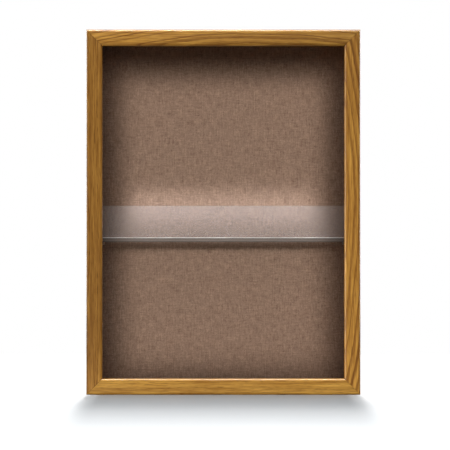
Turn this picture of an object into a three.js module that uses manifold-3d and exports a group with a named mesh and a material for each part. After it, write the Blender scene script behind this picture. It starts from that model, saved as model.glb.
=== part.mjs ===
// A free-standing or wall-hung shadow box: an oak case 75 mm deep inside, with a linen-covered
// back panel, one acrylic shelf and a glazed oak door that swings on two butt hinges.
// Millimetres. X is the width, Y runs from the front (-) to the back (+), Z is up.
// The origin is the middle of the footprint, on the surface that the case stands on.

import * as THREE from "three";
import { mergeVertices } from "three/addons/utils/BufferGeometryUtils.js";
import Module from "manifold-3d";

const wasm = await Module();
wasm.setup();

// Overall size
const WIDTH = 457.2;
const HEIGHT = 609.6;
const DEPTH = 124;
const FRONT = -DEPTH / 2;
const BACK = DEPTH / 2;

// Door frame
const DOOR_THICK = 22;
const DOOR_FACE = 27;
const DOOR_LIFT = 0.8; // gap under the door, so that it swings clear of a table
const OUTER_ROUND = 4.5;
const INNER_ROUND = 4.5;
const LIP_THICK = 9; // wood in front of the window
const RABBET_WIDE = 8;
const MITRE_GAP = 0.15; // each member stops this short of the joint

// Window and the strips that hold it
const WINDOW_THICK = 3;
const WINDOW_PLAY = 1;
const STOP_DEEP = 8;
const STOP_BEVEL = 1.5;
const FIT = 0.15; // gap between two pieces that touch

// Case
const DOOR_GAP = 2.4; // between the door and the case
const OVERHANG = 8; // of the door past the case at the sides and top
const WALL = 12.7;
const BACK_RABBET_WIDE = 7;
const BACK_RABBET_DEEP = 14.8;
const BACK_BOARD_THICK = 4;
const RAIL_TALL = 48;

// Fabric-covered display board
const FABRIC_FRONT = 38;
const FABRIC_THICK = 0.9;
const BOARD_THICK = 7;
const BOARD_PLAY = 0.5;

// Shelf
const SHELF_THICK = 8;
const SHELF_TOP = 263.2;
const SHELF_FRONT = -30;
const UPSTAND_TOP = 316.7;
const BEND_INSIDE = 3;
const SHELF_PLAY = 1;
const PIN_RADIUS = 2.5;
const PIN_IN_WALL = 9;
const PIN_OUT = 6;
const PIN_PLACES = [-15, 20];

// Hinges
const HINGE_TALL = 50;
const HINGE_PLACES = { upper: 505, lower: 105 };
const LEAF_THICK = 0.9;
const LEAF_REACH = 14; // from the pivot to the far edge of a leaf
const KNUCKLE_RADIUS = 2.6;
const HINGE_PIN_RADIUS = 1.25;
const KNUCKLES = 3;
const HINGE_SCREW_SPACING = 32;

// Latch side
const MAGNET_RADIUS = 4;
const MAGNET_LONG = 10;
const MAGNET_PROUD = 1.1;
const MAGNET_PLACES = { upper: 440, lower: 170 };
const STRIKE_WIDE = 11;
const STRIKE_TALL = 24;
const BUMPER_PLACES = { upper: 565, lower: 40 };

// Wall hangers
const HANGER_SPACING = 300;
const HANGER_WIDE = 16;
const HANGER_TALL = 42;
const HANGER_THICK = 1.2;
const HANGER_SCREW_SPACING = 33;
const KEY_ENTRY_RADIUS = 4.5;
const KEY_SLOT_RADIUS = 2.1;
const KEY_RISE = 10;

// Screws
const SHANK_RADIUS = 1.1;
const HEAD_RADIUS = 2.2;
const HEAD_TALL = 1.1;
const ROUND = 16; // sides of small round pieces

// Places worked out from the sizes above
const HALF = WIDTH / 2;
const DOOR_BACK = FRONT + DOOR_THICK;
const DOOR_TALL = HEIGHT - DOOR_LIFT;
const CASE_FRONT = DOOR_BACK + DOOR_GAP;
const CASE_DEEP = BACK - CASE_FRONT;
const CASE_HALF = HALF - OVERHANG;
const CASE_TALL = HEIGHT - OVERHANG;
const INNER_HALF = CASE_HALF - WALL;
const SHOULDER = BACK - BACK_RABBET_DEEP;
const PIVOT_X = -CASE_HALF - KNUCKLE_RADIUS - 0.2;
const PIVOT_Y = DOOR_BACK + KNUCKLE_RADIUS + 0.3;
const EDGE_MIDDLE = CASE_HALF - WALL / 2; // middle of the case's front edge
const RAIL_EDGE = WALL - BACK_RABBET_WIDE + 2 * FIT; // from the case's outside to a rail
const HANGER_Z = CASE_TALL - RAIL_EDGE - RAIL_TALL / 2;

const MATERIALS = {
  oak: { color: 0x9a6a30, roughness: 0.45, metalness: 0 },
  acrylic: { color: 0xdfe4e4, roughness: 0.1, metalness: 0, transparent: true, opacity: 0.3 },
  linen: { color: 0x866b5a, roughness: 0.95, metalness: 0 },
  board: { color: 0x8a6a48, roughness: 0.9, metalness: 0 },
  brass: { color: 0xb08d4a, roughness: 0.35, metalness: 1 },
  steel: { color: 0xb4b6b8, roughness: 0.3, metalness: 1 },
  felt: { color: 0x4a3a2c, roughness: 1, metalness: 0 },
};

function piece(name, geometry, material) {
  const mesh = new THREE.Mesh(geometry, new THREE.MeshStandardMaterial(MATERIALS[material]));
  mesh.name = name;
  return mesh;
}

function placed(mesh, x, y, z) {
  mesh.position.set(x, y, z);
  return mesh;
}

// Booleans -----------------------------------------------------------------------------------

// A placed mesh as a solid in the model's frame.
function solidOf(mesh) {
  mesh.updateMatrixWorld(true);
  const geometry = mesh.geometry.clone().applyMatrix4(mesh.matrixWorld);
  geometry.deleteAttribute("normal");
  geometry.deleteAttribute("uv");
  const merged = mergeVertices(geometry, 1e-4);
  return new wasm.Manifold(
    new wasm.Mesh({
      numProp: 3,
      vertProperties: merged.attributes.position.array,
      triVerts: Uint32Array.from(merged.index.array),
    }),
  );
}

function meshOf(solid, like) {
  const { vertProperties, triVerts } = solid.getMesh();
  const geometry = new THREE.BufferGeometry();
  geometry.setAttribute("position", new THREE.BufferAttribute(vertProperties, 3));
  geometry.setIndex(new THREE.BufferAttribute(triVerts, 1));
  const mesh = new THREE.Mesh(geometry, like.material);
  mesh.name = like.name;
  return mesh;
}

function joined(mesh, ...others) {
  return meshOf(others.reduce((solid, other) => solid.add(solidOf(other)), solidOf(mesh)), mesh);
}

function cut(mesh, ...tools) {
  return meshOf(tools.reduce((solid, tool) => solid.subtract(solidOf(tool)), solidOf(mesh)), mesh);
}

// Shapes -------------------------------------------------------------------------------------

function box(low, high) {
  const size = high.map((value, i) => value - low[i]);
  const geometry = new THREE.BoxGeometry(...size);
  geometry.translate(...low.map((value, i) => value + size[i] / 2));
  return geometry;
}

function boxTool(low, high) {
  return new THREE.Mesh(box(low, high));
}

// A turned shape about Y, from points [radius, y] that start and end on the axis, bottom first.
function turned(points, sides = ROUND) {
  return new THREE.LatheGeometry(points.map(([r, y]) => new THREE.Vector2(r, y)), sides);
}

function cylinderTool(radius, length, place, axis = "y", sides = ROUND) {
  const mesh = new THREE.Mesh(new THREE.CylinderGeometry(radius, radius, length, sides));
  if (axis === "x") mesh.rotation.z = Math.PI / 2;
  if (axis === "z") mesh.rotation.x = Math.PI / 2;
  return placed(mesh, ...place);
}

// A frame member along X with its outer edge at z = 0: the profile's x is the distance inward
// from the outer edge and its y the depth from the front. Both ends are mitred at 45 degrees.
function member(profile, length, curveSegments = 3) {
  const geometry = new THREE.ExtrudeGeometry(profile, { depth: length, bevelEnabled: false, curveSegments });
  geometry.translate(0, 0, -length / 2);
  const positions = geometry.attributes.position;
  for (let i = 0; i < positions.count; i += 1) {
    const half = length / 2 - MITRE_GAP - positions.getX(i);
    positions.setZ(i, Math.sign(positions.getZ(i)) * half);
  }
  geometry.rotateY(-Math.PI / 2);
  return geometry;
}

// Four mitred members around a rectangle, outer size wide by tall, from the z of its bottom.
function mitredRing(names, profile, wide, tall, bottom, front, material) {
  const middle = bottom + tall / 2;
  const sides = [
    { name: names.bottom, length: wide, turn: 0, place: [0, front, bottom] },
    { name: names.right, length: tall, turn: -Math.PI / 2, place: [wide / 2, front, middle] },
    { name: names.top, length: wide, turn: Math.PI, place: [0, front, bottom + tall] },
    { name: names.left, length: tall, turn: Math.PI / 2, place: [-wide / 2, front, middle] },
  ];
  const ring = {};
  for (const { name, length, turn, place } of sides) {
    const mesh = placed(piece(name, member(profile, length), material), ...place);
    mesh.rotation.y = turn;
    ring[name] = mesh;
  }
  return ring;
}

function doorProfile() {
  const shape = new THREE.Shape();
  shape.moveTo(OUTER_ROUND, 0);
  shape.lineTo(DOOR_FACE - INNER_ROUND, 0);
  shape.absarc(DOOR_FACE - INNER_ROUND, INNER_ROUND, INNER_ROUND, -Math.PI / 2, 0, false);
  shape.lineTo(DOOR_FACE, LIP_THICK);
  shape.lineTo(DOOR_FACE - RABBET_WIDE, LIP_THICK);
  shape.lineTo(DOOR_FACE - RABBET_WIDE, DOOR_THICK);
  shape.lineTo(0, DOOR_THICK);
  shape.lineTo(0, OUTER_ROUND);
  shape.absarc(OUTER_ROUND, OUTER_ROUND, OUTER_ROUND, Math.PI, 1.5 * Math.PI, false);
  return shape;
}

function stopProfile() {
  const outer = DOOR_FACE - RABBET_WIDE + 2 * FIT;
  const inner = DOOR_FACE - 2 * FIT;
  const front = LIP_THICK + WINDOW_THICK + 2 * FIT;
  const back = front + STOP_DEEP;
  const shape = new THREE.Shape();
  shape.moveTo(outer, front);
  shape.lineTo(inner, front);
  shape.lineTo(inner, back - STOP_BEVEL);
  shape.lineTo(inner - STOP_BEVEL, back);
  shape.lineTo(outer, back);
  return shape;
}

function caseProfile() {
  const shoulder = CASE_DEEP - BACK_RABBET_DEEP;
  const shape = new THREE.Shape();
  shape.moveTo(0, 0);
  shape.lineTo(WALL, 0);
  shape.lineTo(WALL, shoulder);
  shape.lineTo(WALL - BACK_RABBET_WIDE, shoulder);
  shape.lineTo(WALL - BACK_RABBET_WIDE, CASE_DEEP);
  shape.lineTo(0, CASE_DEEP);
  return shape;
}

function roundedRectangle(wide, tall, radius) {
  const x = wide / 2 - radius;
  const y = tall / 2 - radius;
  const shape = new THREE.Shape();
  shape.absarc(x, y, radius, 0, Math.PI / 2, false);
  shape.absarc(-x, y, radius, Math.PI / 2, Math.PI, false);
  shape.absarc(-x, -y, radius, Math.PI, 1.5 * Math.PI, false);
  shape.absarc(x, -y, radius, 1.5 * Math.PI, 2 * Math.PI, false);
  return shape;
}

// A flat plate in the XZ plane, its front face at y = 0 and its thickness towards +Y.
function plate(shape, thick, curveSegments = 3) {
  const geometry = new THREE.ExtrudeGeometry(shape, { depth: thick, bevelEnabled: false, curveSegments });
  geometry.rotateX(Math.PI / 2);
  geometry.translate(0, thick, 0);
  return geometry;
}

// Screws -------------------------------------------------------------------------------------

// A countersunk wood screw with its head at the origin and its point down the -Y axis.
function screwGeometry(length) {
  return turned([
    [0, -length],
    [SHANK_RADIUS, -length + 2 * SHANK_RADIUS],
    [SHANK_RADIUS, -HEAD_TALL],
    [HEAD_RADIUS, 0],
    [0, 0],
  ]);
}

// The hole that the screw sits in, a little larger all round and open above the head.
function screwHole(length) {
  const shank = SHANK_RADIUS + FIT;
  const head = HEAD_RADIUS + FIT;
  const geometry = turned([
    [0, -length - 2 * FIT],
    [shank, -length - 2 * FIT],
    [shank, -HEAD_TALL - FIT],
    [head, 0],
    [head, 1],
    [0, 1],
  ]);
  return new THREE.Mesh(geometry);
}

// Driven along way: 1 points the screw towards +Y and -1 towards -Y.
function driven(mesh, [x, y, z], way) {
  placed(mesh, x, y, z);
  mesh.rotation.x = way > 0 ? Math.PI : 0;
  return mesh;
}

function screw(name, length, place, way, material) {
  const recessDeep = 0.8;
  const recessLong = 1.3;
  const recessThin = 0.3;
  const body = piece(name, screwGeometry(length), material);
  const across = boxTool([-recessLong, -recessDeep, -recessThin], [recessLong, 1, recessThin]);
  const along = boxTool([-recessThin, -recessDeep, -recessLong], [recessThin, 1, recessLong]);
  return driven(cut(body, across, along), place, way);
}

// Door ---------------------------------------------------------------------------------------

const doorNames = {
  left: "door_stile_left",
  right: "door_stile_right",
  top: "door_rail_top",
  bottom: "door_rail_bottom",
};
const doorFrame = mitredRing(doorNames, doorProfile(), WIDTH, DOOR_TALL, DOOR_LIFT, FRONT, "oak");
const doorPieces = [];

function windowPanel() {
  const x = HALF - DOOR_FACE + RABBET_WIDE - WINDOW_PLAY;
  const z = DOOR_FACE - RABBET_WIDE + WINDOW_PLAY;
  const y = FRONT + LIP_THICK + FIT;
  const low = [-x, y, DOOR_LIFT + z];
  const high = [x, y + WINDOW_THICK, HEIGHT - z];
  return piece("window_panel", box(low, high), "acrylic");
}

function glazingStops() {
  const names = {
    left: "glazing_stop_left",
    right: "glazing_stop_right",
    top: "glazing_stop_top",
    bottom: "glazing_stop_bottom",
  };
  return mitredRing(names, stopProfile(), WIDTH, DOOR_TALL, DOOR_LIFT, FRONT, "oak");
}

// An angle-section nail across each mitre, its corner on the joint line.
function nailGeometry(clear, deep) {
  const leg = 6 + clear;
  const thick = 0.9 + clear;
  const shape = new THREE.Shape();
  shape.moveTo(-clear, -clear);
  shape.lineTo(leg, -clear);
  shape.lineTo(leg, thick);
  shape.lineTo(thick, thick);
  shape.lineTo(thick, leg);
  shape.lineTo(-clear, leg);
  const geometry = new THREE.ExtrudeGeometry(shape, { depth: deep, bevelEnabled: false });
  geometry.rotateX(Math.PI / 2);
  return geometry;
}

function addCornerNails() {
  const inward = 11.5;
  const long = 10;
  const x = HALF - inward;
  const low = DOOR_LIFT + inward;
  const high = HEIGHT - inward;
  // Before it is turned the section's legs run along +X and +Z.
  const corners = [
    { name: "corner_nail_bottom_left", x: -x, z: low, turn: 0, members: ["bottom", "left"] },
    { name: "corner_nail_bottom_right", x, z: low, turn: -Math.PI / 2, members: ["bottom", "right"] },
    { name: "corner_nail_top_right", x, z: high, turn: Math.PI, members: ["top", "right"] },
    { name: "corner_nail_top_left", x: -x, z: high, turn: Math.PI / 2, members: ["top", "left"] },
  ];
  for (const corner of corners) {
    const nail = piece(corner.name, nailGeometry(0, long), "steel");
    placed(nail, corner.x, DOOR_BACK - 2 * FIT, corner.z);
    nail.rotation.y = corner.turn;
    const pocket = new THREE.Mesh(nailGeometry(2 * FIT, long + 2));
    placed(pocket, corner.x, DOOR_BACK + 1, corner.z);
    pocket.rotation.y = corner.turn;
    for (const side of corner.members) {
      const name = doorNames[side];
      doorFrame[name] = cut(doorFrame[name], pocket);
    }
    doorPieces.push(nail);
  }
}

// Case ---------------------------------------------------------------------------------------

const caseNames = {
  left: "case_side_left",
  right: "case_side_right",
  top: "case_top",
  bottom: "case_bottom",
};
const walls = mitredRing(caseNames, caseProfile(), 2 * CASE_HALF, CASE_TALL, 0, CASE_FRONT, "oak");
const casePieces = [];

function backBoard() {
  const low = [-CASE_HALF + RAIL_EDGE, SHOULDER + FIT, RAIL_EDGE];
  const high = [CASE_HALF - RAIL_EDGE, SHOULDER + FIT + BACK_BOARD_THICK, CASE_TALL - RAIL_EDGE];
  return piece("back_board", box(low, high), "board");
}

function displayBoard() {
  const edge = BOARD_PLAY + FABRIC_THICK + FIT;
  const x = INNER_HALF - edge;
  const y = FABRIC_FRONT + FABRIC_THICK + FIT;
  const low = [-x, y, WALL + edge];
  const high = [x, y + BOARD_THICK, CASE_TALL - WALL - edge];
  return piece("display_board", box(low, high), "board");
}

// The cloth over the board's face and down its four edges.
function fabricCover() {
  const x = INNER_HALF - BOARD_PLAY;
  const low = WALL + BOARD_PLAY;
  const high = CASE_TALL - WALL - BOARD_PLAY;
  const back = FABRIC_FRONT + FABRIC_THICK + BOARD_THICK;
  const outside = piece("fabric_cover", box([-x, FABRIC_FRONT, low], [x, back, high]), "linen");
  const inside = boxTool(
    [-x + FABRIC_THICK, FABRIC_FRONT + FABRIC_THICK, low + FABRIC_THICK],
    [x - FABRIC_THICK, back + 1, high - FABRIC_THICK],
  );
  return cut(outside, inside);
}

function rail(name, low) {
  const front = SHOULDER + BACK_BOARD_THICK + 2 * FIT;
  const from = [-CASE_HALF + RAIL_EDGE, front, low];
  const to = [CASE_HALF - RAIL_EDGE, BACK, low + RAIL_TALL];
  return piece(name, box(from, to), "oak");
}

const backPieces = {
  board: backBoard(),
  top: rail("hanging_rail", CASE_TALL - RAIL_EDGE - RAIL_TALL),
  bottom: rail("lower_rail", RAIL_EDGE),
};

// Screws through the rails and the back board into the shoulder of the case's top and bottom.
function addBackScrews() {
  const length = 22;
  const inset = WALL - BACK_RABBET_WIDE / 2;
  const spread = 190;
  const rows = [
    { where: "top", wall: "case_top", z: CASE_TALL - inset },
    { where: "bottom", wall: "case_bottom", z: inset },
  ];
  for (const { where, wall, z } of rows) {
    for (const [side, x] of [["left", -spread], ["right", spread]]) {
      const place = [x, BACK - FIT, z];
      const hole = driven(screwHole(length), place, -1);
      casePieces.push(screw(`back_screw_${where}_${side}`, length, place, -1, "steel"));
      walls[wall] = cut(walls[wall], hole);
      backPieces.board = cut(backPieces.board, hole);
      backPieces[where] = cut(backPieces[where], hole);
    }
  }
}

// Keyhole plates let flush into the hanging rail, with room behind them for a screw's head.
function keyholeTool() {
  const shape = new THREE.Shape();
  const rise = Math.sqrt(KEY_ENTRY_RADIUS ** 2 - KEY_SLOT_RADIUS ** 2);
  const angle = Math.atan2(rise, KEY_SLOT_RADIUS);
  shape.absarc(0, 0, KEY_ENTRY_RADIUS, angle, Math.PI - angle, true);
  shape.lineTo(-KEY_SLOT_RADIUS, KEY_RISE);
  shape.absarc(0, KEY_RISE, KEY_SLOT_RADIUS, Math.PI, 0, true);
  const geometry = new THREE.ExtrudeGeometry(shape, {
    depth: HANGER_THICK + 2,
    bevelEnabled: false,
    curveSegments: 6,
  });
  geometry.rotateX(Math.PI / 2);
  return new THREE.Mesh(geometry);
}

function addHangers() {
  const screwLength = 8;
  const pocketDeep = 6.5;
  const pocketHalf = 5.5;
  const recess = HANGER_THICK + 2 * FIT;
  const keyLow = HANGER_Z - KEY_RISE / 2;
  for (const [side, x] of [["left", -HANGER_SPACING / 2], ["right", HANGER_SPACING / 2]]) {
    const outline = roundedRectangle(HANGER_WIDE, HANGER_TALL, 3);
    const blank = piece(`hanger_plate_${side}`, plate(outline, HANGER_THICK), "steel");
    placed(blank, x, BACK - FIT - HANGER_THICK, HANGER_Z);
    const roomy = roundedRectangle(HANGER_WIDE + 4 * FIT, HANGER_TALL + 4 * FIT, 3);
    const bed = placed(new THREE.Mesh(plate(roomy, recess + 1)), x, BACK - recess, HANGER_Z);
    const pocket = boxTool(
      [x - pocketHalf, BACK - recess - pocketDeep, keyLow - pocketHalf],
      [x + pocketHalf, BACK, keyLow + KEY_RISE + pocketHalf],
    );
    const key = placed(keyholeTool(), x, BACK + 1, keyLow);
    let hanger = cut(blank, key);
    backPieces.top = cut(backPieces.top, bed, pocket);
    for (const [end, way] of [["top", 1], ["bottom", -1]]) {
      const place = [x, BACK - 2 * FIT, HANGER_Z + (way * HANGER_SCREW_SPACING) / 2];
      const hole = driven(screwHole(screwLength), place, -1);
      hanger = cut(hanger, hole);
      backPieces.top = cut(backPieces.top, hole);
      casePieces.push(screw(`hanger_screw_${side}_${end}`, screwLength, place, -1, "steel"));
    }
    casePieces.push(hanger);
  }
}

// Hinges -------------------------------------------------------------------------------------

const KNUCKLE_TALL = HINGE_TALL / KNUCKLES;
const KNUCKLE_GAP = 0.2;

function barrel(z, tall) {
  return cylinderTool(KNUCKLE_RADIUS, tall, [PIVOT_X, PIVOT_Y, z], "z", 20);
}

// Room around the other leaf's knuckle.
function knuckleNotch(front, z, tall) {
  const clear = KNUCKLE_RADIUS + 0.3;
  return boxTool(
    [PIVOT_X - clear - 1, front - 1, z - tall / 2 - KNUCKLE_GAP],
    [PIVOT_X + clear, front + LEAF_THICK + 1, z + tall / 2 + KNUCKLE_GAP],
  );
}

// A leaf: a plate from the pivot inward, its own knuckles, the pin's bore and notches.
function leaf(name, front, middle, own, others) {
  const low = [PIVOT_X, front, middle - HINGE_TALL / 2];
  const high = [PIVOT_X + LEAF_REACH, front + LEAF_THICK, middle + HINGE_TALL / 2];
  const flat = cut(
    piece(name, box(low, high), "brass"),
    ...others.map((i) => knuckleNotch(front, middle + i * KNUCKLE_TALL, KNUCKLE_TALL)),
  );
  const tall = KNUCKLE_TALL - KNUCKLE_GAP;
  const knuckled = joined(flat, ...own.map((i) => barrel(middle + i * KNUCKLE_TALL, tall)));
  return cut(
    knuckled,
    cylinderTool(HINGE_PIN_RADIUS + 0.2, HINGE_TALL + 4, [PIVOT_X, PIVOT_Y, middle], "z"),
  );
}

function hingePin(name, middle) {
  const half = HINGE_TALL / 2;
  const cap = KNUCKLE_RADIUS - 0.4;
  const geometry = turned([
    [0, -half - 1.4],
    [cap * 0.7, -half - 1.1],
    [cap, -half - 0.3],
    [HINGE_PIN_RADIUS, -half - 0.2],
    [HINGE_PIN_RADIUS, half + 0.2],
    [cap, half + 0.3],
    [cap * 0.7, half + 1.1],
    [0, half + 1.4],
  ]);
  geometry.rotateX(Math.PI / 2);
  return placed(piece(name, geometry, "brass"), PIVOT_X, PIVOT_Y, middle);
}

function addHinges() {
  const length = 12;
  const doorLeafFront = DOOR_BACK + FIT;
  const caseLeafFront = CASE_FRONT - FIT - LEAF_THICK;
  for (const [where, middle] of Object.entries(HINGE_PLACES)) {
    let doorLeaf = leaf(`hinge_${where}_door_leaf`, doorLeafFront, middle, [0], [-1, 1]);
    let caseLeaf = leaf(`hinge_${where}_case_leaf`, caseLeafFront, middle, [-1, 1], [0]);
    for (const [end, way] of [["top", 1], ["bottom", -1]]) {
      const z = middle + (way * HINGE_SCREW_SPACING) / 2;
      const inDoor = [-EDGE_MIDDLE, doorLeafFront + LEAF_THICK - 0.05, z];
      const inCase = [-EDGE_MIDDLE, caseLeafFront + 0.05, z];
      const doorHole = driven(screwHole(length), inDoor, -1);
      const caseHole = driven(screwHole(length), inCase, 1);
      doorLeaf = cut(doorLeaf, doorHole);
      caseLeaf = cut(caseLeaf, caseHole);
      doorFrame.door_stile_left = cut(doorFrame.door_stile_left, doorHole);
      walls.case_side_left = cut(walls.case_side_left, caseHole);
      doorPieces.push(screw(`hinge_${where}_door_screw_${end}`, length, inDoor, -1, "brass"));
      casePieces.push(screw(`hinge_${where}_case_screw_${end}`, length, inCase, 1, "brass"));
    }
    doorPieces.push(doorLeaf);
    casePieces.push(caseLeaf, hingePin(`hinge_${where}_pin`, middle));
  }
}

// Latch side ---------------------------------------------------------------------------------

function magnet(name, z) {
  const bevel = 0.5;
  const geometry = turned(
    [
      [0, 0],
      [MAGNET_RADIUS - bevel, 0],
      [MAGNET_RADIUS, bevel],
      [MAGNET_RADIUS, MAGNET_LONG],
      [0, MAGNET_LONG],
    ],
    20,
  );
  return placed(piece(name, geometry, "steel"), EDGE_MIDDLE, CASE_FRONT - MAGNET_PROUD, z);
}

function strike(name, z) {
  const outline = roundedRectangle(STRIKE_WIDE, STRIKE_TALL, 2.5);
  return placed(piece(name, plate(outline, LEAF_THICK), "steel"), EDGE_MIDDLE, DOOR_BACK + FIT, z);
}

function addCatches() {
  const length = 12;
  const screwAbove = 7.5;
  const magnetBelow = 4.5;
  for (const [where, z] of Object.entries(MAGNET_PLACES)) {
    const bore = cylinderTool(
      MAGNET_RADIUS + FIT,
      2 * (MAGNET_LONG - MAGNET_PROUD + 2 * FIT),
      [EDGE_MIDDLE, CASE_FRONT, z - magnetBelow],
      "y",
      20,
    );
    walls.case_side_right = cut(walls.case_side_right, bore);
    casePieces.push(magnet(`magnet_${where}`, z - magnetBelow));
    const place = [EDGE_MIDDLE, DOOR_BACK + FIT + LEAF_THICK - 0.05, z + screwAbove];
    const hole = driven(screwHole(length), place, -1);
    doorFrame.door_stile_right = cut(doorFrame.door_stile_right, hole);
    doorPieces.push(cut(strike(`strike_plate_${where}`, z), hole));
    doorPieces.push(screw(`strike_screw_${where}`, length, place, -1, "steel"));
  }
}

function bumper(name, z) {
  const tall = DOOR_GAP - 2 * FIT;
  const geometry = turned([
    [0, 0],
    [2.6, 0],
    [3.7, 0.5],
    [4, tall - 0.4],
    [4, tall],
    [0, tall],
  ]);
  return placed(piece(name, geometry, "felt"), EDGE_MIDDLE, CASE_FRONT - FIT - tall, z);
}

// Shelf --------------------------------------------------------------------------------------

// Bent from one sheet: a flat ledge and an upstand against the fabric.
function shelf() {
  const back = FABRIC_FRONT - FIT - 0.3;
  const under = SHELF_TOP - SHELF_THICK;
  const outside = BEND_INSIDE + SHELF_THICK;
  const face = back - SHELF_THICK;
  const edge = 0.6;
  const shape = new THREE.Shape();
  shape.moveTo(SHELF_FRONT + edge, under);
  shape.lineTo(back - outside, under);
  shape.absarc(back - outside, under + outside, outside, -Math.PI / 2, 0, false);
  shape.lineTo(back, UPSTAND_TOP - edge);
  shape.lineTo(back - edge, UPSTAND_TOP);
  shape.lineTo(face + edge, UPSTAND_TOP);
  shape.lineTo(face, UPSTAND_TOP - edge);
  shape.lineTo(face, SHELF_TOP + BEND_INSIDE);
  shape.absarc(face - BEND_INSIDE, SHELF_TOP + BEND_INSIDE, BEND_INSIDE, 0, -Math.PI / 2, true);
  shape.lineTo(SHELF_FRONT + edge, SHELF_TOP);
  shape.lineTo(SHELF_FRONT, SHELF_TOP - edge);
  shape.lineTo(SHELF_FRONT, under + edge);
  const half = INNER_HALF - SHELF_PLAY;
  const geometry = new THREE.ExtrudeGeometry(shape, {
    depth: 2 * half,
    bevelEnabled: false,
    curveSegments: 4,
  });
  geometry.translate(0, 0, -half);
  geometry.rotateY(Math.PI / 2);
  geometry.rotateX(Math.PI / 2);
  return piece("shelf", geometry, "acrylic");
}

// A pin in the side wall with a collar against the wood and a nose under the shelf.
function addShelfPins() {
  const collar = 1;
  const collarRadius = PIN_RADIUS + 1.5;
  const nose = 0.6;
  const z = SHELF_TOP - SHELF_THICK - PIN_RADIUS - FIT;
  for (const [side, way] of [["left", 1], ["right", -1]]) {
    PIN_PLACES.forEach((y, i) => {
      const geometry = turned([
        [0, -PIN_IN_WALL],
        [PIN_RADIUS, -PIN_IN_WALL],
        [PIN_RADIUS, FIT],
        [collarRadius, FIT],
        [collarRadius, collar],
        [PIN_RADIUS, collar],
        [PIN_RADIUS, PIN_OUT - nose],
        [PIN_RADIUS - nose, PIN_OUT],
        [0, PIN_OUT],
      ]);
      const name = `shelf_pin_${side}_${i === 0 ? "front" : "back"}`;
      const pin = placed(piece(name, geometry, "steel"), -way * INNER_HALF, y, z);
      pin.rotation.z = (-way * Math.PI) / 2;
      const hole = cylinderTool(
        PIN_RADIUS + FIT,
        2 * (PIN_IN_WALL + 2 * FIT),
        [-way * INNER_HALF, y, z],
        "x",
      );
      const wall = `case_side_${side}`;
      walls[wall] = cut(walls[wall], hole);
      casePieces.push(pin);
    });
  }
}

// Assembly -----------------------------------------------------------------------------------

addCornerNails();
addHinges();
addCatches();
addBackScrews();
addHangers();
addShelfPins();

const door = new THREE.Group();
door.add(...Object.values(doorFrame), windowPanel(), ...Object.values(glazingStops()), ...doorPieces);

const shadowCase = new THREE.Group();
shadowCase.add(...Object.values(walls), ...Object.values(backPieces), displayBoard(), fabricCover());
for (const [where, z] of Object.entries(BUMPER_PLACES)) {
  casePieces.push(bumper(`bumper_${where}`, z));
}
shadowCase.add(...casePieces);

const shadowBox = new THREE.Group();
shadowBox.add(door, shadowCase, shelf());

export default shadowBox;
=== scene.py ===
"""An oak shadow box with a swing-open door, a linen back panel and one acrylic shelf.

Metres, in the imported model's frame: -Y is the front, +X the viewer's right, +Z up.
"""

import math

import bmesh
import bpy
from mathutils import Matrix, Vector, noise


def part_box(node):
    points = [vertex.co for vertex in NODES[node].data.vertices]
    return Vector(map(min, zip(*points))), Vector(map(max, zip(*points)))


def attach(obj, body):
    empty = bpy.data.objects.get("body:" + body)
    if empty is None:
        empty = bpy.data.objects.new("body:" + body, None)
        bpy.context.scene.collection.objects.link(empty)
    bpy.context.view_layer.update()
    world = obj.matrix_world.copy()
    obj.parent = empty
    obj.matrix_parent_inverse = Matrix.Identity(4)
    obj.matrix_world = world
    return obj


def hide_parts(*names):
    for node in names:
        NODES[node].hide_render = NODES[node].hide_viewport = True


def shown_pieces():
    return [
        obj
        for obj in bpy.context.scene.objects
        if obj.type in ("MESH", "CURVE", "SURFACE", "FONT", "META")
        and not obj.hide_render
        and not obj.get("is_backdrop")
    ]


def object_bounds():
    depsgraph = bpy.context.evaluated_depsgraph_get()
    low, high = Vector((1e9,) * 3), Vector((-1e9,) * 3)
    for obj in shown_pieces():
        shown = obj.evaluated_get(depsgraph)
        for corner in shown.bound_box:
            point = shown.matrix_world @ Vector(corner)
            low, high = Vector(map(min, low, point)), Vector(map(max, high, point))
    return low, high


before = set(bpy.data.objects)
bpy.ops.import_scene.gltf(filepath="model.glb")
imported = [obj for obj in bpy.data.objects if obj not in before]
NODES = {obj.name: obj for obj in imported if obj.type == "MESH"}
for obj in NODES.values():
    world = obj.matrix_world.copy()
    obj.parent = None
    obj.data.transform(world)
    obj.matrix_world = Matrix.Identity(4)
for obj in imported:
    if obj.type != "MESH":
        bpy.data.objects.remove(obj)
cad_low, cad_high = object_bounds()

MM = 0.001

# Sizes that the CAD boxes don't give
OUTER_ROUND = 4.5 * MM
INNER_ROUND = 4.5 * MM
LIP_THICK = 9 * MM
WINDOW_RABBET = 8 * MM
BACK_RABBET_WIDE = 7 * MM
BACK_RABBET_DEEP = 14.8 * MM
MITRE_GAP = 0.15 * MM
EASED = 0.8 * MM  # sanded edges of the oak
LIP_ARRIS = 0.3 * MM
BACK_ARRIS = 0.4 * MM
MEMBER_BEVEL = 0.25 * MM  # at a member's mitred ends
SHELF_THICK = 8 * MM
SHELF_ARRIS = 0.7 * MM
BEND_INSIDE = 3 * MM

# The cloth over the display board
HEM = 22 * MM
CLOTH_BEND = 1.4 * MM  # radius at the board's edges
CLOTH_BEHIND = 0.75 * MM  # from the board's back to the hem
CLOTH_CELL = 6 * MM
CLOTH_BACK = 0.12 * MM  # from the front of the CAD skin
CLOTH_SWELL = 0.10 * MM
SWELL_SCALE, SWELL_SEED = 14, 3.7
SWELL_FADE = 0.03  # the swell dies out this near to the board's edges
BEND_STEPS, SIDE_STEPS, HEM_STEPS = 5, 3, 4

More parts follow.
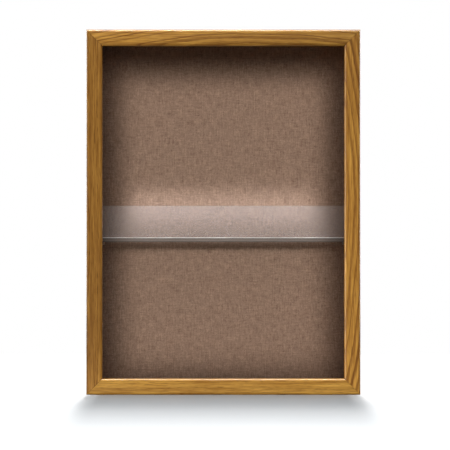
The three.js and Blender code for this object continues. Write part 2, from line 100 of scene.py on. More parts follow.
# Patterns
SEED_STEP = 7.31  # how far a seed moves a pattern
# The brightening at a member's low end is partly the oak's own tone and partly painted light.
FOOT_LONG = 110 * MM  # how far the tone of a member's low end reaches
YARN = 0.8 * MM
SHELF_HAZE = 0.15  # share of the light that the shelf's haze takes
BRUSHING = (900.0, 900.0, 40.0)  # of the metals, along X, Y and Z


# Camera ---------------------------------------------------------------------------------------

FRAME_WIDE = 0.7494  # what the picture's width covers at the front of the door
CAMERA_FAR = 4.0
SENSOR_MM = 36
CAMERA_RIGHT = 0.0027
CAMERA_HIGH = 0.2839


def add_camera():
    data = bpy.data.cameras.new("camera")
    data.sensor_width = SENSOR_MM
    data.lens = data.sensor_width * CAMERA_FAR / FRAME_WIDE
    data.clip_end = 50
    camera = bpy.data.objects.new("camera", data)
    bpy.context.scene.collection.objects.link(camera)
    camera.location = (CAMERA_RIGHT, cad_low.y - CAMERA_FAR, CAMERA_HIGH)
    camera.rotation_euler = (math.pi / 2, 0, 0)
    bpy.context.scene.camera = camera


# Materials ------------------------------------------------------------------------------------


class Shade:
    """A material whose nodes are added by short calls. Each call returns an output socket."""

    def __init__(self, name):
        self.material = bpy.data.materials.new(name)
        self.material.use_nodes = True
        self.tree = self.material.node_tree
        self.tree.nodes.clear()
        self.output = self.tree.nodes.new("ShaderNodeOutputMaterial")

    def node(self, kind, inputs=(), **settings):
        node = self.tree.nodes.new(kind)
        for key, value in settings.items():
            setattr(node, key, value)
        for key, value in dict(inputs).items():
            self.feed(node.inputs[key], value)
        return node

    def feed(self, socket, value):
        if isinstance(value, bpy.types.NodeSocket):
            self.tree.links.new(value, socket)
        elif value is not None:
            socket.default_value = value

    def math(self, operation, *values, clamp=False):
        node = self.node("ShaderNodeMath", operation=operation, use_clamp=clamp)
        for socket, value in zip(node.inputs, values):
            self.feed(socket, value)
        return node.outputs[0]

    def sum(self, *values):
        total = values[0]
        for value in values[1:]:
            total = self.math("ADD", total, value)
        return total

    def remap(self, value, low, high, to_low=0.0, to_high=1.0):
        inputs = {0: value, 1: low, 2: high, 3: to_low, 4: to_high}
        return self.node("ShaderNodeMapRange", inputs).outputs[0]

    def mix(self, factor, a, b, blend="MIX"):
        node = self.node("ShaderNodeMix", data_type="RGBA", blend_type=blend)
        for index, value in ((0, factor), (6, a), (7, b)):
            self.feed(node.inputs[index], value)
        return node.outputs[2]

    def ramp(self, factor, stops):
        node = self.node("ShaderNodeValToRGB", {0: factor})
        ramp = node.color_ramp
        while len(ramp.elements) < len(stops):
            ramp.elements.new(0.5)
        for element, (place, colour) in zip(ramp.elements, stops):
            element.position = place
            element.color = (*colour, 1)
        return node.outputs[0]

    def place(self):
        return self.node("ShaderNodeTexCoord").outputs["Object"]

    def split(self, vector):
        return self.node("ShaderNodeSeparateXYZ", {0: vector}).outputs

    def join(self, x, y, z):
        return self.node("ShaderNodeCombineXYZ", {0: x, 1: y, 2: z}).outputs[0]

    def noise(self, vector, scale=1.0, detail=2.0, rough=0.5):
        inputs = {"Vector": vector, "Scale": scale, "Detail": detail, "Roughness": rough}
        return self.node("ShaderNodeTexNoise", inputs).outputs[0]

    def bump(self, height, distance, strength=1.0, normal=None):
        inputs = {"Height": height, "Distance": distance, "Strength": strength, "Normal": normal}
        return self.node("ShaderNodeBump", inputs).outputs[0]

    def surface(self, shader):
        self.tree.links.new(shader, self.output.inputs["Surface"])
        return self.material

    def principled(self, **inputs):
        names = {key.replace("_", " "): value for key, value in inputs.items()}
        return self.surface(self.node("ShaderNodeBsdfPrincipled", names).outputs[0])


def oak(
    name,
    along,
    seed,
    end_tones_and_light=(1.0, 1.0),
    foot=0.0,
    gold=1.0,
    spacing=5.0,
    bow=0.0,
    crown=0.0,
    figure=0.6,
    raw=False,
):
    """Oak with its grain along X or Z, its brightness scaled from one end's value to the other's.

    Foot is added to that scale at the low end. These scales are partly the oak's own tone and
    partly painted light. Rings are spacing mm apart and bow about the crown.
    """
    shade = Shade(name)
    x, y, z = shade.split(shade.place())
    length, across = (x, z) if along == "X" else (z, x)
    drift = seed * SEED_STEP

    def grain(along_scale, across_scale, detail=2.0, shift=0.0):
        """Noise drawn out along the board."""
        return shade.noise(
            shade.join(
                shade.math("MULTIPLY", length, along_scale),
                shade.math("MULTIPLY", across, across_scale),
                shade.math("MULTIPLY_ADD", y, across_scale, drift + shift),
            ),
            1.0,
            detail,
            0.55,
        )

    # The rings cross the board at a slant, and their distance wavers and bows along it.
    offset = shade.math("SUBTRACT", length, crown)
    radius = shade.sum(
        across,
        shade.math("MULTIPLY", y, 0.7),
        shade.math("MULTIPLY", shade.math("MULTIPLY", offset, offset), bow),
        shade.math("MULTIPLY", grain(4.5, 14.0), 0.014),
        shade.math("MULTIPLY", grain(30.0, 90.0), 0.0024),
    )
    turns = shade.math("DIVIDE", radius, spacing * MM)
    uneven = shade.noise(shade.join(shade.math("MULTIPLY", turns, 0.6), drift, 0.0), 1.0, 2.0)
    ring = shade.math("ADD", turns, shade.math("MULTIPLY", uneven, 2.2))
    phase = shade.math("FRACT", ring)
    vigour = shade.noise(shade.join(shade.math("MULTIPLY", ring, 0.8), drift, 5.0), 1.0, 1.0)
    # Early wood starts sharply and fades out before the ring's end.
    peak, end = 0.16, 0.62
    early = shade.math(
        "MINIMUM", shade.remap(phase, 0.0, peak), shade.remap(phase, peak, end, 1.0, 0.0)
    )
    early = shade.math("MULTIPLY", early, shade.remap(vigour, 0.32, 0.62, 0.3, 1.0))
    # Pores are short dark lines, mostly in the early wood; fibres are fine streaks.
    pores = shade.math(
        "MULTIPLY", shade.remap(grain(75.0, 900.0, 1.0), 0.50, 0.68), shade.math("ADD", early, 0.35)
    )
    streak = grain(22.0, 480.0)
    flame = grain(6.0, 110.0, shift=3.0)

    def stain(red, green, blue):
        return (red, green * gold, blue * gold, 1)

    brown, honey = stain(0.40, 0.178, 0.026), stain(0.74, 0.385, 0.072)
    wood = shade.mix(shade.remap(streak, 0.30, 0.70), brown, honey)
    wood = shade.mix(shade.math("MULTIPLY", early, figure), wood, stain(0.165, 0.056, 0.007))
    wood = shade.mix(shade.remap(flame, 0.36, 0.68, 0.0, 0.45), wood, stain(0.29, 0.108, 0.016))
    pored = shade.math("MULTIPLY", pores, 0.62, clamp=True)
    wood = shade.mix(pored, wood, stain(0.14, 0.047, 0.007))
    ends = (-cad_high.x, cad_high.x) if along == "X" else (cad_low.z, cad_high.z)
    # Partly painted light: the end-to-end scale and the foot's brightening are partly the oak's own
    # tone and partly painted light.
    tone = shade.math(
        "ADD",
        shade.remap(length, *ends, *end_tones_and_light),
        shade.remap(length, ends[0], ends[0] + FOOT_LONG, foot, 0.0),
    )
    wood = shade.mix(1.0, wood, shade.join(tone, tone, tone), "MULTIPLY")
    rough = shade.sum(shade.remap(streak, 0.3, 0.7, 0.34, 0.44), shade.math("MULTIPLY", pores, 0.2))
    relief = shade.math("SUBTRACT", shade.math("MULTIPLY", streak, 0.3), pores)
    return shade.principled(
        Base_Color=wood,
        Roughness=shade.math("ADD", rough, 0.3) if raw else rough,
        Normal=shade.bump(relief, 0.05 * MM, 0.5),
        Coat_Weight=0.0 if raw else 0.7,
        Coat_Roughness=0.20,
        Coat_IOR=1.5,
    )


def linen():
    """Plain weave of brown yarn, with thick and thin places along single threads."""
    shade = Shade("brown_linen")
    x, y, z = shade.split(shade.place())
    # Threads are round, and each goes over and under its neighbours in turn.
    warp = shade.math("DIVIDE", x, YARN)
    weft = shade.math("DIVIDE", z, YARN)
    warp_round = shade.math("ABSOLUTE", shade.math("SINE", shade.math("MULTIPLY", warp, math.pi)))
    weft_round = shade.math("ABSOLUTE", shade.math("SINE", shade.math("MULTIPLY", weft, math.pi)))
    parity = shade.math(
        "PINGPONG", shade.math("ADD", shade.math("FLOOR", warp), shade.math("FLOOR", weft)), 1.0
    )
    over = shade.math("MULTIPLY", warp_round, shade.remap(parity, 0.0, 1.0, 0.6, 1.0))
    under = shade.math("MULTIPLY", weft_round, shade.remap(parity, 0.0, 1.0, 1.0, 0.6))
    height = shade.math("MAXIMUM", over, under)
    # Slubs: knots a few threads wide, and streaks along single threads, down and across.
    knots = shade.noise(shade.place(), 430.0, 1.0, 0.5)
    fine, long = 520.0, 60.0

    def threads(x_scale, z_scale):
        scaled = shade.math("MULTIPLY", x, x_scale), y, shade.math("MULTIPLY", z, z_scale)
        return shade.noise(shade.join(*scaled), 1.0, 1.0, 0.5)

    down, cross = threads(fine, long), threads(long, fine)
    cloud = shade.noise(shade.place(), 60.0, 3.0, 0.6)
    fuzz = shade.noise(shade.place(), 1500.0, 2.0, 0.6)
    slub = shade.sum(
        shade.math("MULTIPLY", knots, 0.36),
        shade.math("MULTIPLY", down, 0.36),
        shade.math("MULTIPLY", cross, 0.28),
    )
    base = shade.mix(
        shade.remap(slub, 0.32, 0.68), (0.146, 0.086, 0.057, 1), (0.362, 0.236, 0.172, 1)
    )
    base = shade.mix(shade.remap(cloud, 0.3, 0.7, 0.0, 0.15), base, (0.225, 0.134, 0.088, 1))
    # Painted shade: darker where the threads dip between each other.
    base = shade.mix(shade.remap(height, 0.25, 0.8, 0.16, 0.0), base, (0.10, 0.055, 0.035, 1))
    base = shade.mix(shade.remap(fuzz, 0.45, 0.8, 0.0, 0.12), base, (0.42, 0.29, 0.22, 1))
    relief = shade.sum(shade.math("MULTIPLY", height, 0.4), shade.math("MULTIPLY", slub, 0.8))
    return shade.principled(
        Base_Color=base,
        Roughness=shade.remap(fuzz, 0.3, 0.7, 0.86, 0.98),
        Normal=shade.bump(relief, 0.10 * MM, 0.3),
        Specular_IOR_Level=0.25,
        Sheen_Weight=0.06,
        Sheen_Roughness=0.6,
    )


def clear(shade, body, rough):
    """A body shader under a thin mirror that grows towards grazing angles, alike on both sides."""
    facing = shade.node("ShaderNodeLayerWeight", {"Blend": 0.5}).outputs["Facing"]
    mirror = shade.math("MULTIPLY_ADD", shade.math("POWER", facing, 5.0), 0.96, 0.04)
    gloss = shade.node("ShaderNodeBsdfAnisotropic", {"Color": (1, 1, 1, 1), "Roughness": rough})
    return shade.node("ShaderNodeMixShader", {0: mirror, 1: body, 2: gloss.outputs[0]}).outputs[0]


def window_acrylic():
    shade = Shade("window_acrylic")
    smear = shade.noise(shade.place(), 9.0, 4.0, 0.65)
    dust = shade.remap(shade.noise(shade.place(), 420.0, 2.0), 0.68, 0.8)
    smeared = shade.remap(smear, 0.35, 0.75, 0.015, 0.06)
    rough = shade.sum(smeared, shade.math("MULTIPLY", dust, 0.15))
    through = shade.node("ShaderNodeBsdfTransparent", {0: (0.985, 0.99, 0.988, 1)}).outputs[0]
    speck = shade.node("ShaderNodeBsdfDiffuse", {0: (0.8, 0.8, 0.8, 1)}).outputs[0]
    veil = shade.math("MULTIPLY", dust, 0.02)
    body = shade.node("ShaderNodeMixShader", {0: veil, 1: through, 2: speck}).outputs[0]
    return shade.surface(clear(shade, body, rough))


def shelf_acrylic():
    """Clear acrylic with a white haze. Its front cut edge has its own material: greyer, with the
    saw's fine lines, and with its light and shade painted on.
    """
    shade = Shade("shelf_acrylic")
    x, y, z = shade.split(shade.place())
    cloud = shade.noise(shade.place(), 14.0, 3.0, 0.6)
    scratch = shade.noise(
        shade.join(shade.math("MULTIPLY", x, 6.0), shade.math("MULTIPLY", y, 300.0), z), 1.0, 2.0
    )
    through = shade.node("ShaderNodeBsdfTransparent", {0: (0.985, 0.988, 0.985, 1)}).outputs[0]
    milk = shade.mix(cloud, (0.95, 0.80, 0.76, 1), (1.0, 0.85, 0.81, 1))
    haze = shade.node("ShaderNodeBsdfDiffuse", {0: milk}).outputs[0]
    amount = shade.sum(
        SHELF_HAZE - 0.03,
        shade.math("MULTIPLY", cloud, 0.04),
        shade.math("MULTIPLY", scratch, 0.02),
    )
    body = shade.node("ShaderNodeMixShader", {0: amount, 1: through, 2: haze}).outputs[0]
    rough = shade.remap(scratch, 0.3, 0.7, 0.05, 0.12)
    return shade.surface(clear(shade, body, rough))


def shelf_edge_acrylic():
    """The polished front edge, with painted light: a painted highlight at its top arris, painted
    shade in a dark line just under it and along the bottom, and grey between.
    """
    shade = Shade("shelf_edge_acrylic")
    x, y, z = shade.split(shade.place())
    low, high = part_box("shelf")
    top = low.z + SHELF_THICK
    height = shade.remap(z, low.z, top)
    streak = shade.noise(
        shade.join(shade.math("MULTIPLY", x, 12.0), y, shade.math("MULTIPLY", z, 1800.0)), 1.0, 2.0
    )
    waver = shade.math("MULTIPLY", shade.math("SUBTRACT", streak, 0.5), 0.08)
    level = shade.math("ADD", height, waver)
    # Painted light: a highlight near the top, shade in a dark line under it and at the bottom, grey
    # between.
    edge_light_painted_colour = shade.ramp(
        level,
        [
            (0.0, (0.08, 0.065, 0.055)),
            (0.22, (0.19, 0.155, 0.135)),
            (0.50, (0.24, 0.195, 0.175)),
            (0.66, (0.10, 0.080, 0.070)),
            (0.80, (0.20, 0.175, 0.160)),
            (0.92, (1.0, 0.93, 0.90)),
        ],
    )
    through = shade.node("ShaderNodeBsdfTransparent", {0: (0.9, 0.92, 0.91, 1)}).outputs[0]
    solid = shade.node("ShaderNodeBsdfDiffuse", {0: edge_light_painted_colour}).outputs[0]
    body = shade.node("ShaderNodeMixShader", {0: 0.85, 1: through, 2: solid}).outputs[0]
    return shade.surface(clear(shade, body, shade.remap(streak, 0.3, 0.7, 0.08, 0.16)))


def metal(name, base, dark, rough, seed):
    """Metal with fine brushing along one axis and dull patches."""
    shade = Shade(name)
    x, y, z = shade.split(shade.place())
    brushed = shade.noise(
        shade.join(*(shade.math("MULTIPLY", *pair) for pair in zip((x, y, z), BRUSHING))),
        1.0,
        3.0,
        0.6,
    )
    patch = shade.noise(shade.place(), 160.0 + seed, 3.0, 0.6)
    tint = shade.mix(shade.remap(patch, 0.4, 0.7, 0.0, 0.6), base, dark)
    tint = shade.mix(shade.remap(brushed, 0.3, 0.8, 0.0, 0.35), tint, dark)
    return shade.principled(
        Base_Color=tint,
        Metallic=0.8,
        Roughness=shade.sum(rough - 0.05, shade.math("MULTIPLY", brushed, 0.12)),
        Normal=shade.bump(brushed, 0.015 * MM, 0.5),
    )


def hardboard():
    shade = Shade("back_hardboard")
    strands = shade.noise(shade.place(), 900.0, 4.0, 0.7)
    cloud = shade.noise(shade.place(), 16.0, 3.0, 0.6)
    base = shade.mix(strands, (0.10, 0.055, 0.026, 1), (0.19, 0.112, 0.058, 1))
    base = shade.mix(shade.remap(cloud, 0.35, 0.7, 0.0, 0.4), base, (0.09, 0.05, 0.025, 1))
    return shade.principled(
        Base_Color=base,
        Roughness=shade.remap(strands, 0.3, 0.7, 0.45, 0.62),
        Normal=shade.bump(strands, 0.05 * MM, 0.5),
    )


def fibreboard():
    shade = Shade("display_fibreboard")
    strands = shade.noise(shade.place(), 1400.0, 3.0, 0.7)
    base = shade.mix(strands, (0.30, 0.21, 0.13, 1), (0.44, 0.33, 0.22, 1))
    return shade.principled(
        Base_Color=base, Roughness=0.9, Normal=shade.bump(strands, 0.1 * MM, 0.6)
    )


def felt():
    shade = Shade("brown_felt")
    hair = shade.noise(shade.place(), 3200.0, 4.0, 0.75)
    base = shade.mix(hair, (0.05, 0.03, 0.018, 1), (0.13, 0.085, 0.055, 1))
    return shade.principled(
        Base_Color=base, Roughness=0.95, Normal=shade.bump(hair, 0.15 * MM, 0.8), Sheen_Weight=0.3
    )


def dress(node, material):
    """Puts one material on a CAD node that keeps its shape."""
    if not NODES[node].material_slots:
        NODES[node].data.materials.append(material)
    for slot in NODES[node].material_slots:
        slot.material = material


# Shapes ---------------------------------------------------------------------------------------


def outline(corners, steps=6):
    """A closed outline from corners (across, depth, radius), each rounded to its radius."""
    points = []
    count = len(corners)
    for i, (across, depth, radius) in enumerate(corners):
        corner = Vector((across, depth))
        if radius <= 0:
            points.append(corner)
            continue
        before = (Vector(corners[i - 1][:2]) - corner).normalized()
        after = (Vector(corners[(i + 1) % count][:2]) - corner).normalized()
        half = before.angle(after) / 2
        centre = corner + (before + after).normalized() * radius / math.sin(half)
        start = corner + before * radius / math.tan(half) - centre
        end = corner + after * radius / math.tan(half) - centre
        turn = start.angle(end)
        for step in range(steps + 1):
            share = step / steps
            near = math.sin((1 - share) * turn) / math.sin(turn)
            far = math.sin(share * turn) / math.sin(turn)
            points.append(centre + start * near + end * far)
    return points


def inset(points, amount):
    """The outline moved inward, for the small bevel at the end of a sweep."""
    area = sum(a.x * b.y - b.x * a.y for a, b in zip(points, points[1:] + points[:1]))
    way = 1 if area > 0 else -1
    moved = []
    for i, point in enumerate(points):
        along = (points[(i + 1) % len(points)] - points[i - 1]).normalized()
        moved.append(point + Vector((-along.y, along.x)) * amount * way)
    return moved


def finished(name, mesh, material, body, replaced, sharp=35):
    """Puts a bmesh in the scene as a piece that rides on a body and replaces its CAD node."""
    bmesh.ops.recalc_face_normals(mesh, faces=mesh.faces)
    data = bpy.data.meshes.new(name)
    mesh.to_mesh(data)
    mesh.free()
    for polygon in data.polygons:
        polygon.use_smooth = True
    data.set_sharp_from_angle(angle=math.radians(sharp))
    for one in material if isinstance(material, (list, tuple)) else [material]:
        data.materials.append(one)
    piece = bpy.data.objects.new(name, data)
    bpy.context.scene.collection.objects.link(piece)
    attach(piece, body)
    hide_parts(*replaced)
    return piece


def swept(sections):
    """A closed tube through outlines of equal length, capped at both ends."""
    mesh = bmesh.new()
    rings = [[mesh.verts.new(point) for point in section] for section in sections]
    for low, high in zip(rings, rings[1:]):
        for i in range(len(low)):
            mesh.faces.new((low[i - 1], low[i], high[i], high[i - 1]))
    mesh.faces.new(rings[0])
    mesh.faces.new(rings[-1])
    return mesh


def mitred(name, profile, middle, along, inward, length, material, body):
    """A frame member: profile x is inward from the outer edge, y back from the front."""
    small = inset(profile, MEMBER_BEVEL)
    sections = []
    ends = ((-1, small, 0), (-1, profile, MEMBER_BEVEL), (1, profile, MEMBER_BEVEL), (1, small, 0))
    for sign, points, back in ends:
        section = []
        for (u, v), (full, _) in zip(points, profile):
            reach = length / 2 - MITRE_GAP - full - back
            section.append(middle + along * (sign * reach) + inward * u + Vector((0, v, 0)))
        sections.append(section)
    finished(name + "_fine", swept(sections), material, body, [name])


def frame_members(names, profile, low, high, materials, body):
    """Four mitred members just inside a rectangle: left, right, top and bottom."""
    x_axis, z_axis = Vector((1, 0, 0)), Vector((0, 0, 1))
    wide, tall = high.x - low.x, high.z - low.z
    mid_x, mid_z = (low.x + high.x) / 2, (low.z + high.z) / 2
    rows = (
        (names[0], Vector((low.x, low.y, mid_z)), z_axis, x_axis, tall),
        (names[1], Vector((high.x, low.y, mid_z)), z_axis, -x_axis, tall),
        (names[2], Vector((mid_x, low.y, high.z)), x_axis, -z_axis, wide),
        (names[3], Vector((mid_x, low.y, low.z)), x_axis, z_axis, wide),
    )
    for (name, middle, along, inward, length), material in zip(rows, materials):
        mitred(name, profile, middle, along, inward, length, material, body)


def joined_box(*nodes):
    lows, highs = zip(*(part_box(node) for node in nodes))
    low = Vector([min(corner[i] for corner in lows) for i in range(3)])
    high = Vector([max(corner[i] for corner in highs) for i in range(3)])
    return low, high


# Door and case --------------------------------------------------------------------------------

DOOR_NAMES = ("door_stile_left", "door_stile_right", "door_rail_top", "door_rail_bottom")
CASE_NAMES = ("case_side_left", "case_side_right", "case_top", "case_bottom")


def door_frame():
    low, high = joined_box(*DOOR_NAMES)
    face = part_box("door_rail_bottom")[1].z - low.z
    thick = high.y - low.y
    profile = outline(
        [
            (0, 0, OUTER_ROUND),
            (face, 0, INNER_ROUND),
            (face, LIP_THICK, LIP_ARRIS),
            (face - WINDOW_RABBET, LIP_THICK, 0),
            (face - WINDOW_RABBET, thick, BACK_ARRIS),
            (0, thick, EASED),
        ],
        steps=8,
    )
    middle = (low.z + high.z) / 2
    # Each member's tones and foot are partly the oak's own tone and partly painted light: the
    # bottom rail is made lighter than the top one, as if lit from above.
    materials = (
        oak(
            "stile_left", "Z", 1, (0.66, 0.76), foot=0.20, gold=0.94,
            spacing=4.0, bow=0.03, crown=middle, figure=0.35,
        ),
        oak(
            "stile_right", "Z", 2, (1.31, 0.97), gold=0.99,
            spacing=9.0, bow=0.4, crown=middle, figure=0.9,
        ),
        oak(
            "rail_top", "X", 3, (1.19, 0.87), gold=1.01,
            spacing=8.0, bow=0.4, crown=0.06, figure=1.0,
        ),
        oak(
            "rail_bottom", "X", 4, (1.24, 1.36), gold=1.05,
            spacing=3.4, bow=-0.03, crown=0.1, figure=0.35,
        ),
    )
    frame_members(DOOR_NAMES, profile, low, high, materials, "door")


def case_walls():
    low, high = joined_box(*CASE_NAMES)
    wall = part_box("case_bottom")[1].z - low.z
    deep = high.y - low.y
    profile = outline(
        [
            (0, 0, EASED),
            (wall, 0, EASED),
            (wall, deep - BACK_RABBET_DEEP, 0),
            (wall - BACK_RABBET_WIDE, deep - BACK_RABBET_DEEP, 0),
            (wall - BACK_RABBET_WIDE, deep, BACK_ARRIS),
            (0, deep, EASED),
        ],
        steps=4,
    )
    materials = (
        oak("oak_side_left", "Z", 5),
        oak("oak_side_right", "Z", 6),
        oak("oak_case_top", "X", 7),
        oak("oak_case_bottom", "X", 8),
    )
    frame_members(CASE_NAMES, profile, low, high, materials, "case")


# Fabric ---------------------------------------------------------------------------------------


def wrap(distance, half, deep, turn):
    """Where the cloth is at a distance from the board's middle: (across, back from the face)."""
    sign = 1 if distance >= 0 else -1
    left = abs(distance)
    if left <= half - turn:
        return distance, 0.0
    left -= half - turn
    quarter = turn * math.pi / 2
    if left <= quarter:
        angle = left / turn
        return sign * (half - turn + turn * math.sin(angle)), turn * (1 - math.cos(angle))
    left -= quarter
    side = deep - 2 * turn
    if left <= side:
        return sign * half, turn + left
    left -= side
    if left <= quarter:
        angle = left / turn
        return sign * (half - turn + turn * math.cos(angle)), deep - turn + turn * math.sin(angle)
    left -= quarter
    return sign * (half - turn - left), deep


def stations(half, deep, turn, cell):
    """Distances from the middle at which the cloth has a row of points, close together at bends."""
    flat = half - turn
    bend = turn * math.pi / 2
    side = deep - 2 * turn
    places = [flat * i / round(flat / cell) for i in range(round(flat / cell) + 1)]
    turned = (bend, BEND_STEPS)
    for stretch, steps in (turned, (side, SIDE_STEPS), turned, (HEM, HEM_STEPS)):
        start = places[-1]
        places += [start + stretch * i / steps for i in range(1, steps + 1)]
    return [-p for p in reversed(places[1:])] + places


def fabric():
    """Linen pulled round the display board, its corners cut away and its hems glued behind."""
    low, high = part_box("fabric_cover")
    turn = CLOTH_BEND
    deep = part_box("display_board")[1].y + CLOTH_BEHIND - low.y
    mid_x, mid_z = (low.x + high.x) / 2, (low.z + high.z) / 2
    half_x, half_z = (high.x - low.x) / 2, (high.z - low.z) / 2
    columns = stations(half_x, deep, turn, CLOTH_CELL)
    rows = stations(half_z, deep, turn, CLOTH_CELL)
    mesh = bmesh.new()
    grid = {}
    for i, a in enumerate(columns):
        x, back_x = wrap(a, half_x, deep, turn)
        for j, b in enumerate(rows):
            z, back_z = wrap(b, half_z, deep, turn)
            if min(back_x, back_z) > turn * 0.99:
                continue  # the corner that is cut away
            fade = min(1.0, (half_x - abs(x)) / SWELL_FADE, (half_z - abs(z)) / SWELL_FADE)
            spot = Vector((x * SWELL_SCALE, z * SWELL_SCALE, SWELL_SEED))
            swell = noise.noise(spot) * CLOTH_SWELL * max(fade, 0)
            y = low.y + CLOTH_BACK + max(back_x, back_z) + swell
            grid[i, j] = mesh.verts.new((mid_x + x, y, mid_z + z))
    for i in range(len(columns) - 1):
        for j in range(len(rows) - 1):
            corners = [grid.get(key) for key in ((i, j), (i + 1, j), (i + 1, j + 1), (i, j + 1))]
            if all(corners):
                mesh.faces.new(corners)
    piece = finished(
        "fabric_cover_cloth", mesh, linen(), "case", ["fabric_cover"], sharp=180
    )


# Shelf ----------------------------------------------------------------------------------------


def shelf():
    """An L section bent from one sheet, with rounded arrises all round."""
    low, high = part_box("shelf")
    top = low.z + SHELF_THICK
    face = high.y - SHELF_THICK
    arris = SHELF_ARRIS
    profile = outline(
        [
            (low.y, low.z, arris),
            (high.y, low.z, SHELF_THICK + BEND_INSIDE),
            (high.y, high.z, arris),
            (face, high.z, arris),
            (face, top, BEND_INSIDE),
            (low.y, top, arris),
        ],
        steps=8,
    )
    small = inset(profile, arris)
    sections = [
        [Vector((x, y, z)) for y, z in points]
        for x, points in (
            (low.x, small),
            (low.x + arris, profile),
            (high.x - arris, profile),
            (high.x, small),
        )
    ]
    mesh = swept(sections)
    for polygon in mesh.faces:
        if polygon.calc_center_median().y < low.y + arris * 1.01:
            polygon.material_index = 1
    materials = [shelf_acrylic(), shelf_edge_acrylic()]
    finished("shelf_acrylic_piece", mesh, materials, "shelf", ["shelf"])


# Dressing the CAD pieces ----------------------------------------------------------------------


def dress_the_rest():
    brass = metal("satin_brass", (0.72, 0.50, 0.20, 1), (0.45, 0.29, 0.10, 1), 0.38, 1)
    steel = metal("zinc_steel", (0.62, 0.62, 0.61, 1), (0.42, 0.42, 0.42, 1), 0.34, 2)
    nickel = metal("nickel", (0.70, 0.69, 0.66, 1), (0.52, 0.51, 0.49, 1), 0.22, 3)
    stop_x = oak("oak_stop_across", "X", 9)
    stop_z = oak("oak_stop_up", "Z", 10)
    raw = oak("oak_raw", "X", 11, (1.1, 1.1), raw=True)
    window = window_acrylic()
    board, fibre, pads = hardboard(), fibreboard(), felt()
    for node in NODES:
        if node.startswith("hinge_"):
            dress(node, brass)
        elif node.startswith("glazing_stop"):
            dress(node, stop_z if node.endswith(("left", "right")) else stop_x)
        elif node.startswith("magnet"):
            dress(node, nickel)
        elif node.startswith("bumper"):
            dress(node, pads)
        elif node.endswith("_rail") and not node.startswith("door"):
            dress(node, raw)
        elif node == "window_panel":
            dress(node, window)
        elif node == "back_board":
            dress(node, board)
        elif node == "display_board":
            dress(node, fibre)
        else:
            dress(node, steel)


# Studio ---------------------------------------------------------------------------------------

MIDDLE = Vector((0, cad_low.y, (cad_low.z + cad_high.z) / 2))  # of the door's front
METAL_NAMES = ("hinge", "hanger", "back_screw", "corner_nail", "strike", "magnet")
DOOR_SIDE_NAMES = ("door", "glazing", "window", "corner_nail", "strike")
GRID_AWAY = Vector((0, -0.45, 0.085))  # from the panel to the softbox with the grid
LIT_SIDES, LIT_FOOT, LIT_HEAD = 0.033, 0.010, 0.049  # from the window's edges to its light
STRIP_SHORTER = 0.024  # than that light is wide
BACK_AWAY = 14.0  # how far behind the object the lamps that cast its shadow are
BACK_WIDE = 0.55
BACK_TARGET = Vector((0, -0.3, 0))
COOL = (0.83, 0.89, 1.0)
FLOOR_COOL = (0.87, 0.95, 1.0)


def named(*starts):
    """The pieces whose names start with one of these words."""
    return [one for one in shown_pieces() if one.name.startswith(starts)]


def group_of(name, members):
    group = bpy.data.collections.new(name)
    for one in members:
        group.objects.link(one)
    return group


def softbox(
    name, receivers, place, target, wide, tall, watts, spread=180.0, tint=(1, 1, 1), shiny=False
):
    """A rectangular lamp that lights its receivers only. A shiny one shows in reflections."""
    data = bpy.data.lights.new(name, "AREA")
    data.shape = "RECTANGLE"
    data.size, data.size_y = wide, tall
    data.energy = watts
    data.color = tint
    data.spread = math.radians(spread)
    lamp = bpy.data.objects.new(name, data)
    bpy.context.scene.collection.objects.link(lamp)
    lamp.location = place
    lamp.rotation_euler = (Vector(target) - Vector(place)).to_track_quat("-Z", "Y").to_euler()
    lamp.visible_camera = False
    lamp.visible_glossy = shiny
    lamp.light_linking.receiver_collection = group_of(lamp.name + "_receivers", receivers)
    return lamp


def object_lamps():
    """A softbox in front, others from below, above, the sides and behind, and the metals' own."""
    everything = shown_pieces()
    inside = named("fabric", "shelf", "display")
    outside = [one for one in everything if one not in inside]
    metals = named(*METAL_NAMES)

    front = {"wide": 2.6, "tall": 2.2}
    softbox("fill_softbox", everything, (0, -3.4, 1.93), MIDDLE, **front, watts=51)
    softbox("metal_softbox", metals, (0.6, -3.4, 1.6), MIDDLE, **front, watts=60, shiny=True)
    back = {"wide": 2.0, "tall": 2.0, "shiny": True}
    softbox("back_metal_softbox", metals, (1.6, 3.0, 1.6), MIDDLE, **back, watts=30)
    softbox("low_softbox", everything, (0, -2.0, -0.6), MIDDLE, wide=2.2, tall=1.2, watts=4.9)
    foot = (0, cad_low.y, 0)
    softbox("door_softbox", outside, (-0.8, -1.3, -0.35), foot, wide=1.0, tall=0.8, watts=9)
    # These two draw the bright rims: along the top and on the right stile's inner round.
    top = ((0, -0.45, 3.2), (0, -0.06, 0.3))
    softbox("top_softbox", named("door_"), *top, wide=1.6, tall=0.24, watts=86, shiny=True)
    stile = named("door_stile_right")
    lip = {"wide": 0.17, "tall": 1.2, "shiny": True}
    softbox("lip_softbox", stile, (-2.4, -0.9, 0.35), MIDDLE, **lip, watts=20)
    for side in (-1, 1):
        flank = {"wide": 1.6, "tall": 2.0, "shiny": True}
        softbox("flank_softbox", outside, (2.8 * side, 1.5, 1.0), MIDDLE, **flank, watts=80)
    rear = {"wide": 2.4, "tall": 2.0, "shiny": True}
    softbox("rear_softbox", outside, (0.8, 3.6, 1.2), MIDDLE, **rear, watts=15)


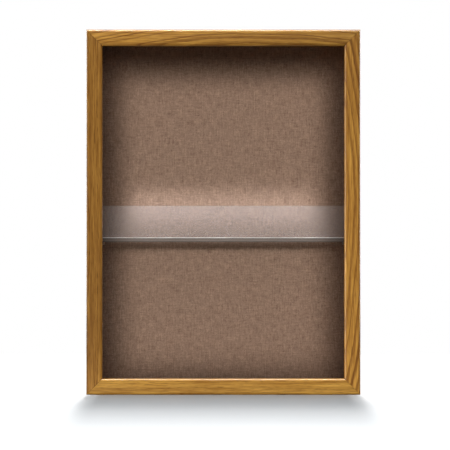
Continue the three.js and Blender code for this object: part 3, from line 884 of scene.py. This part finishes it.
def panel_lamps():
    """A softbox with a grid, which lights a soft-edged rectangle, and a strip at the shelf's top.

    The plastic has its own pair, because importance sampling puts specks of light on it.
    """
    cloth = named("fabric")
    plastic = named("shelf_acrylic")
    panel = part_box("fabric_cover")[0].y
    window_low, window_high = opening()
    left, right = window_low.x + LIT_SIDES, window_high.x - LIT_SIDES
    bottom, top = window_low.z + LIT_FOOT, window_high.z - LIT_HEAD
    centre = Vector(((left + right) / 2, panel, (bottom + top) / 2))
    lean = GRID_AWAY.normalized().dot(Vector((0, -1, 0)))
    size = {"wide": right - left, "tall": (top - bottom) * lean}
    for name, receivers in (("grid_softbox", cloth), ("haze_softbox", plastic)):
        softbox(name, receivers, centre + GRID_AWAY, centre, **size, watts=0.43, spread=11.0)
    wide = right - left - STRIP_SHORTER
    shelf_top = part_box("shelf")[1].z
    for name, receivers, tall, rise, watts in (
        ("glow_strip", cloth, 0.054, -0.004, 0.074),
        ("haze_strip", plastic, 0.050, 0.001, 0.027),
    ):
        centre = Vector((0, panel, shelf_top + rise))
        place = centre + Vector((0, GRID_AWAY.y, 0))
        softbox(name, receivers, place, centre, wide, tall, watts, spread=8.0, tint=COOL)
    for name in ("haze_softbox", "haze_strip"):
        bpy.data.lights[name].cycles.use_multiple_importance_sampling = False


def back_lamp(name, receivers, elevation, half_angle, watts, blockers=None):
    """A narrow lamp far behind the object. Its elevation and half its height are in degrees."""
    rise = math.radians(elevation)
    place = BACK_TARGET + Vector((0, math.cos(rise), math.sin(rise))) * BACK_AWAY
    tall = 2 * BACK_AWAY * math.tan(math.radians(half_angle))
    lamp = softbox(name, receivers, place, BACK_TARGET, BACK_WIDE, tall, watts)
    if blockers:
        lamp.light_linking.blocker_collection = group_of(name + "_blockers", blockers)


def floor_lamps(plane):
    """Lamps behind the object, whose shadow falls forward on the floor and fades out.

    The floor's come one above the other, and the lower ones are blocked by narrower pieces, so that
    the shadow's far end isn't wider than the object.
    """
    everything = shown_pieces()
    case = [one for one in everything if not one.name.startswith(DOOR_SIDE_NAMES)]
    back_lamp("back_top_softbox", everything, elevation=57, half_angle=19, watts=2500)
    for elevation, half_angle, watts, blockers in (
        (84, 5.0, 290, everything),
        (70, 6.3, 520, everything),
        (58, 6.0, 650, case),
        (49, 4.5, 550, case),
        (39, 4.0, 600, named("display_board")),
    ):
        back_lamp("floor_strip", [plane], elevation, half_angle, watts, blockers)
    above, below = (0, -0.5, 12), (0, -0.5, 0)
    flood = softbox(
        "floor_flood", [plane], above, below, wide=6, tall=6, watts=490, tint=FLOOR_COOL, shiny=True
    )
    flood.data.use_shadow = False


def opening():
    """Low and high corners of the door's window opening."""
    low, _ = joined_box(*DOOR_NAMES)
    left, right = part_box("door_stile_left"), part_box("door_stile_right")
    bottom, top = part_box("door_rail_bottom"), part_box("door_rail_top")
    return Vector((left[1].x, low.y, bottom[1].z)), Vector((right[0].x, low.y, top[0].z))


def floor():
    mesh = bmesh.new()
    level = cad_low.z - 0.2 * MM
    corners = ((-1.6, -2.4), (1.6, -2.4), (1.6, 1.2), (-1.6, 1.2))
    mesh.faces.new([mesh.verts.new((x, y, level)) for x, y in corners])
    data = bpy.data.meshes.new("floor")
    mesh.to_mesh(data)
    mesh.free()
    shade = Shade("pale_floor")
    patchy = shade.noise(shade.place(), 3.0, 3.0)
    tone = shade.mix(patchy, (0.86, 0.87, 0.88, 1), (0.90, 0.905, 0.91, 1))
    data.materials.append(shade.principled(Base_Color=tone, Roughness=0.9))
    plane = bpy.data.objects.new("floor", data)
    bpy.context.scene.collection.objects.link(plane)
    plane.visible_glossy = plane.visible_diffuse = plane.visible_shadow = False
    plane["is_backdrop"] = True
    return plane


def white_surroundings():
    """White where the camera looks past the floor, and no light from it on the object."""
    world = bpy.data.worlds.new("white")
    bpy.context.scene.world = world
    world.use_nodes = True
    tree = world.node_tree
    background = tree.nodes["Background"]
    seen = tree.nodes.new("ShaderNodeLightPath")
    background.inputs["Color"].default_value = (1, 1, 1, 1)
    tree.links.new(seen.outputs["Is Camera Ray"], background.inputs["Strength"])
    bpy.context.scene.view_settings.view_transform = "Standard"


# Making ---------------------------------------------------------------------------------------

add_camera()
dress_the_rest()
door_frame()
case_walls()
fabric()
shelf()
ground = floor()
object_lamps()
panel_lamps()
floor_lamps(ground)
white_surroundings()
